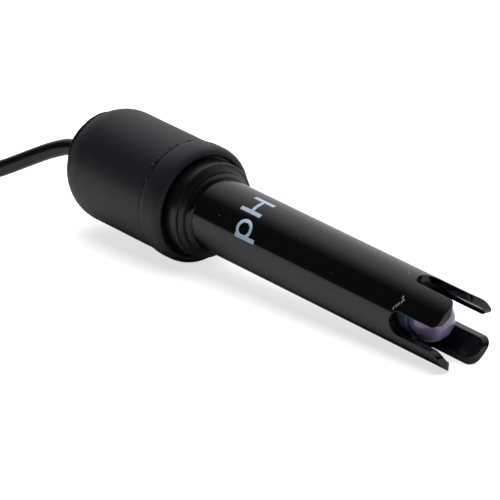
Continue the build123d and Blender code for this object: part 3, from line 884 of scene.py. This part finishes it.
@dataclass
class SeamGlue:
    """The adhesive squeezed out of the seam between the grip's sleeve and its front ring.

    Lengths are in millimetres, and angles in degrees as around() counts them. Sizes of the bead
    and of its blob are shares of the bead's radius, and those of a crumb are shares of its own.
    A pace is how many patches of the noise lie in a millimetre, or in a crumb's radius.
    """

    place: OwnFrame
    seam_x: float
    seam_r: float
    bead_r: float = 0.15
    bead_sunk: float = 0.02
    bead_corners: int = 10
    bead_steps: int = 384
    bead_size: float = 0.75
    least_size: float = 0.15
    rough_size: float = 0.9
    coarse_pace: float = 1.3
    fine_pace: float = 4.0
    fine_share: float = 0.5
    drift: float = 0.12
    drift_pace: float = 0.9
    blob_angle: float = -12.0
    blob_wide: float = 9.0
    blob_size: float = 1.6
    blob_rough: float = 2.2
    blob_shift: float = 0.35
    crumb_count: int = 22
    crumb_from: float = -62.0
    crumb_to: float = -2.0
    crumb_r: float = 0.2
    crumb_least: float = 0.6
    crumb_more: float = 0.9
    crumb_back: float = 0.15
    crumb_spread: float = 0.9
    crumb_spread_deg: float = 5.0
    crumb_dent: float = 0.6
    crumb_dent_pace: float = 1.2
    crumb_detail: int = 3
    spread_draw: tuple[float, float] = (1.7, 0.4)
    size_draw: tuple[float, float] = (2.3, 1.1)

    def bead(self) -> None:
        """Runs an uneven bead round the seam, with a lump on the camera's side."""
        work = bmesh.new()
        spine_r = self.seam_r - self.bead_sunk
        upright = Matrix.Rotation(math.pi / 2, 3, "X")
        section = bmesh.ops.create_circle(
            work, segments=self.bead_corners, radius=self.bead_r
        )["verts"]
        bmesh.ops.rotate(work, verts=section, cent=(0, 0, 0), matrix=upright)
        bmesh.ops.translate(work, verts=section, vec=(self.seam_x, 0, spine_r))
        spin_round(work, list(work.verts) + list(work.edges), self.bead_steps)
        for vert in work.verts:
            angle = angle_of(vert.co)
            spot = around(self.seam_x, spine_r, angle)
            away = vert.co - spot
            near = math.exp(-(((angle - self.blob_angle) / self.blob_wide) ** 2))
            coarse = noise.noise(spot * self.coarse_pace)
            rough = coarse + self.fine_share * noise.noise(spot * self.fine_pace)
            blob = near * (self.blob_size + self.blob_rough * rough)
            size = max(self.least_size, self.bead_size + self.rough_size * rough + blob)
            drift = self.drift * noise.noise(spot * self.drift_pace)
            shift = drift - near * self.blob_shift
            vert.co = spot + away * size + Vector((shift, 0, 0))
        self.place.piece("seam_glue", work, Finish.GLUE, "grip_rubber")

    def crumbs(self) -> None:
        """Drops small lumps along the upper seam, each where a fixed noise puts it."""
        work = bmesh.new()
        for i in range(self.crumb_count):
            share = i / (self.crumb_count - 1)
            angle = self.crumb_from + share * (self.crumb_to - self.crumb_from)
            wander = drawn(i, *self.spread_draw)
            grown = abs(drawn(i, *self.size_draw))
            size = self.crumb_r * (self.crumb_least + self.crumb_more * grown)
            at = around(
                self.seam_x - self.crumb_back + self.crumb_spread * wander,
                self.seam_r,
                angle + self.crumb_spread_deg * wander,
            )
            made = bmesh.ops.create_icosphere(
                work, subdivisions=self.crumb_detail, radius=size
            )["verts"]
            for vert in made:
                spot = vert.co / size * self.crumb_dent_pace + Vector((i, 0, 0))
                vert.co *= 1 + self.crumb_dent * noise.noise(spot)
            bmesh.ops.translate(work, vec=at, verts=made)
        self.place.piece("glue_crumbs", work, Finish.GLUE, "grip_rubber")

    def build(self) -> None:
        """Makes the bead and the crumbs."""
        self.bead()
        self.crumbs()


@dataclass
class Grip(SubAssembly):
    """The moulded rubber grip: a sleeve with a domed back, its flash, and the glue at its seam.

    Lengths are in millimetres, and angles in degrees as around() counts them. flash_fade is a
    power: the smaller it is, the nearer to its ends the lip stays full.
    """

    SOLIDS = {
        Finish.GRIP: ("front_ring", "grommet"),
        Finish.EPOXY: ("potting",),
    }

    radius: float = 9.45
    bore_r: float = 8.13
    wall: float = 1.3
    back_x: float = -31.8
    dome_r: float = 7.2
    dome_steps: int = 18
    hole_r: float = 2.1
    wall_xs: tuple[float, ...] = (-20.0, -16.0, -12.0)
    seam_x: float = -8.4
    seam_edge_r: float = 0.25
    edge_cut: float = 0.3
    steps: int = 192
    lump: float = 0.035
    lump_mm: float = 3.5
    flash_x: float = -29.0
    flash_h: float = 0.42
    flash_t: float = 0.3
    flash_root: float = 0.3
    flash_from: float = -63.0
    flash_to: float = 24.0
    flash_steps: int = 72
    flash_fade: float = 0.4
    flash_wave: float = 0.25
    flash_wave_mm: float = 1.5

    def dome_radius(self, x: float) -> float:
        """The outer radius at that place on the dome."""
        run = self.back_x + self.dome_r - x
        return self.radius - self.dome_r + math.sqrt(self.dome_r**2 - run**2)

    def sleeve(self) -> None:
        """Spins the sleeve's outline, with the slight unevenness of moulded rubber."""
        inner_x = self.back_x + self.wall
        inner_r = self.dome_r - self.wall
        dome_x = self.back_x + self.dome_r
        dome_y = self.radius - self.dome_r
        outline = [(inner_x, self.hole_r), (self.back_x, self.hole_r)]
        for i in range(self.dome_steps + 1):
            angle = math.pi / 2 * i / self.dome_steps
            x = dome_x - self.dome_r * math.cos(angle)
            outline.append((x, dome_y + self.dome_r * math.sin(angle)))
        edge = self.seam_edge_r
        cut = self.edge_cut * edge  # how far the round edge's middle lies inside its corner
        straight = (*self.wall_xs, self.seam_x - 2 * edge, self.seam_x - edge)
        outline += [(x, self.radius) for x in straight]
        outline += [
            (self.seam_x - cut, self.radius - cut),
            (self.seam_x, self.radius - edge),
            (self.seam_x, self.bore_r),
            (inner_x + inner_r, self.bore_r),
            (inner_x, self.bore_r - inner_r),
        ]
        work = spun_ring(outline, self.steps)
        for vert in work.verts:
            if math.hypot(vert.co.y, vert.co.z) > self.bore_r + edge:
                swell = self.lump * noise.noise(vert.co / self.lump_mm)
                vert.co += Vector((0, vert.co.y, vert.co.z)).normalized() * swell
        made = self.place.piece("moulded_sleeve", work, Finish.GRIP, "grip_rubber")
        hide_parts("grip_sleeve")

    def flash(self) -> None:
        """Raises the thin lip of moulding flash, which runs out to nothing at both ends."""
        root_r = self.dome_radius(self.flash_x) - self.flash_root
        crest_r = root_r + self.flash_root + self.flash_h
        outline = [
            (self.flash_x - self.flash_t / 2, root_r),
            (self.flash_x - self.flash_t / 4, crest_r),
            (self.flash_x + self.flash_t / 4, crest_r),
            (self.flash_x + self.flash_t / 2, root_r),
        ]
        work = bmesh.new()
        corners = [work.verts.new(around(x, radius, self.flash_from)) for x, radius in outline]
        run = self.flash_to - self.flash_from
        spin_round(work, [work.faces.new(corners)], self.flash_steps, math.radians(run))
        for vert in work.verts:
            along = min(max((angle_of(vert.co) - self.flash_from) / run, 0.0), 1.0)
            full = math.sin(math.pi * along) ** self.flash_fade
            wave = 1 + self.flash_wave * noise.noise(vert.co / self.flash_wave_mm)
            reach = math.hypot(vert.co.y, vert.co.z)
            if reach > root_r + self.flash_root:
                wanted = root_r + (reach - root_r) * full * wave
                vert.co.y *= wanted / reach
                vert.co.z *= wanted / reach
        self.place.piece("moulding_flash", work, Finish.GRIP, "grip_rubber")

    def build(self) -> None:
        """Dresses the solids and makes the sleeve, its flash and the glue."""
        self.dress()
        self.sleeve()
        self.flash()
        SeamGlue(self.place, self.seam_x, self.radius).build()


@dataclass
class Collar(SubAssembly):
    """The collar with the fine fillet of resin that fills the corner between it and the tube.

    Lengths are in millimetres.
    """

    SOLIDS = {Finish.COLLAR: ("collar",)}

    tube_r: float = 6.0
    ring_r: float = 6.55
    relief_x: float = 0.5
    sunk: float = 0.12
    sag: float = 0.08
    thin: float = 0.02
    run_out: float = 0.05
    steps: int = 160

    def fillet(self) -> None:
        """Spins the fillet's hollow triangle round the axis."""
        front_x = self.relief_x + self.run_out
        outline = [
            (-self.sunk, self.tube_r - self.sunk),
            (-self.sunk / 2, self.ring_r),
            (self.thin, self.ring_r),
            (self.relief_x / 2 - self.sag, (self.tube_r + self.ring_r) / 2 - self.sag),
            (front_x, self.tube_r + self.thin),
            (front_x, self.tube_r - self.sunk),
        ]
        work = spun_ring(outline, self.steps)
        self.place.piece("resin_fillet", work, Finish.TUBE, "collar_plastic")

    def build(self) -> None:
        """Dresses the collar and makes its fillet."""
        self.dress()
        self.fillet()


@dataclass
class BodyTube(SubAssembly):
    """The body tube with its seals, its printed quantity symbol, and the pale specks and smear on
    it.

    Places along the tube are in millimetres from the collar, angles are in degrees as around()
    counts them, and widths round the tube are arcs in millimetres.
    """

    SOLIDS = {
        Finish.TUBE: ("body_tube",),
        Finish.EPOXY: ("tip_seal", "rear_seal"),
    }

    tube_r: float = 6.0
    lift: float = 0.012
    thick: float = 0.015
    stroke: float = 0.68
    cap_top: float = 9.3
    baseline: float = 14.1
    small_top: float = 10.9
    tail_end: float = 15.5
    stem_angles: tuple[float, float, float] = (16.0, -24.5, -53.0)
    bowl_half: tuple[float, float] = (1.62, 1.75)
    bowl_stroke: float = 0.6
    bowl_corners: int = 48
    bar_cells: int = 12
    # Each speck's place along the tube, angle, length and width.
    specks: tuple[tuple[float, float, float, float], ...] = (
        (16.4, -51.0, 0.22, 0.22),
        (46.4, -49.5, 0.35, 0.3),
        (45.9, -53.0, 0.5, 0.14),
        (6.3, 2.0, 0.14, 0.14),
        (24.0, -20.0, 0.12, 0.12),
        (33.5, 5.0, 0.14, 0.1),
    )
    # The pale smear by the slot, dab by dab: place along the tube and angle.
    smear: tuple[tuple[float, float], ...] = (
        (49.3, -9.0),
        (49.7, -5.5),
        (49.6, -2.0),
        (49.2, 2.0),
        (48.9, 6.0),
        (48.5, 11.0),
    )
    smear_dab: tuple[float, float] = (0.32, 0.62)
    speck_corners: int = 9
    speck_ragged: float = 0.5
    speck_pace: float = 3.0

    def bar(
        self, work: bmesh.types.BMesh, x_from: float, x_to: float, out_from: float, out_to: float
    ) -> None:
        """Lays a flat bar in the unrolled surface.

        Args:
            work: the mesh that gets it.
            x_from: its start along the tube.
            x_to: its end along the tube.
            out_from: its start round the tube.
            out_to: its end round the tube.
        """
        made = bmesh.ops.create_grid(
            work, x_segments=self.bar_cells, y_segments=self.bar_cells, size=UNIT_HALF
        )["verts"]
        bmesh.ops.scale(work, vec=(x_to - x_from, out_to - out_from, 1), verts=made)
        middle = ((x_from + x_to) / 2, (out_from + out_to) / 2, 0)
        bmesh.ops.translate(work, vec=middle, verts=made)

    def bowl(self, work: bmesh.types.BMesh, x: float, out: float) -> None:
        """Lays an oval ring, the bowl of the small letter, in the unrolled surface.

        Args:
            work: the mesh that gets it.
            x: its middle along the tube.
            out: its middle round the tube.
        """
        ring = bmesh.ops.create_circle(work, segments=self.bowl_corners, radius=1.0)["verts"]
        edges = [e for e in work.edges if all(v in ring for v in e.verts)]
        outer = bmesh.ops.extrude_edge_only(work, edges=edges)["geom"]
        outer = [g for g in outer if isinstance(g, bmesh.types.BMVert)]
        half_out, half_x = self.bowl_half
        inner_scale = (half_x - self.bowl_stroke, half_out - self.bowl_stroke, 1)
        bmesh.ops.scale(work, vec=inner_scale, verts=ring)
        bmesh.ops.scale(work, vec=(half_x, half_out, 1), verts=outer)
        bmesh.ops.translate(work, vec=(x, out, 0), verts=ring + outer)

    def wrap(self, work: bmesh.types.BMesh, lift: float) -> None:
        """Rolls flat marks onto the tube and gives them a thickness.

        Args:
            work: the marks in the unrolled surface.
            lift: how far they stand off the tube.
        """
        bmesh.ops.recalc_face_normals(work, faces=work.faces)
        for vert in work.verts:
            angle = math.degrees(vert.co.y / self.tube_r)
            vert.co = around(vert.co.x, self.tube_r + lift, angle)
        bmesh.ops.solidify(work, geom=list(work.faces), thickness=self.thick)

    def symbol(self) -> None:
        """Prints the quantity symbol, read from the tip's side with its top to the grip."""
        small, left, right = [math.radians(angle) * self.tube_r for angle in self.stem_angles]
        half = self.stroke / 2
        work = bmesh.new()
        self.bar(work, self.small_top, self.tail_end, small - half, small + half)
        bowl_x = (self.small_top + self.baseline) / 2
        self.bowl(work, bowl_x, small + half - self.bowl_half[0])
        for stem in (left, right):
            self.bar(work, self.cap_top, self.baseline, stem - half, stem + half)
        cross_x = (self.cap_top + self.baseline) / 2
        self.bar(work, cross_x - half, cross_x + half, right + half, left - half)
        self.wrap(work, self.lift)
        self.place.piece("printed_symbol", work, Finish.PRINT, "body_plastic")

    def marks(self) -> None:
        """Scatters the few pale specks and the scratch, and lays the pale smear by the slot."""
        work = bmesh.new()
        # The smear's dabs are pale marks in the same chalky finish as the specks.
        dabs = [(x, angle, *self.smear_dab) for x, angle in self.smear]
        for x, angle, long, wide in (*self.specks, *dabs):
            arc = math.radians(angle) * self.tube_r
            made = bmesh.ops.create_circle(
                work, cap_ends=True, segments=self.speck_corners, radius=UNIT_HALF
            )["verts"]
            for vert in made:
                spot = vert.co * self.speck_pace + Vector((x, angle, 0))
                vert.co *= 1 + self.speck_ragged * noise.noise(spot)
            bmesh.ops.scale(work, vec=(long, wide, 1), verts=made)
            bmesh.ops.translate(work, vec=(x, arc, 0), verts=made)
        self.wrap(work, self.lift / 2)
        self.place.piece("pale_specks_and_smear", work, Finish.RESIDUE, "body_plastic")

    def build(self) -> None:
        """Dresses the tube and its seals, and makes the symbol and the specks."""
        self.dress()
        self.symbol()
        self.marks()


def main() -> None:
    """Loads the frame and builds and dresses each sub-assembly in order."""
    logging.basicConfig(level=logging.INFO, format="%(message)s")
    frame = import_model()
    bpy.context.scene.view_settings.view_transform = "Standard"
    nodes = frame["nodes"]
    electrode = OwnFrame.from_mount(frame["record"], "body_tube_od", TUBE_MOUNT_X, 1)
    plug = Plug(nodes, OwnFrame.from_mount(frame["record"], "bayonet_plug", PLUG_MOUNT_X, -1))
    Studio().build(electrode.origin)
    Lead(nodes, electrode, plug).build()
    for group in (Grip, Collar, BodyTube, GlassElectrode, ReferenceSide):
        group(nodes, electrode).build()
    plug.build()


if __name__ == "__main__":
    main()
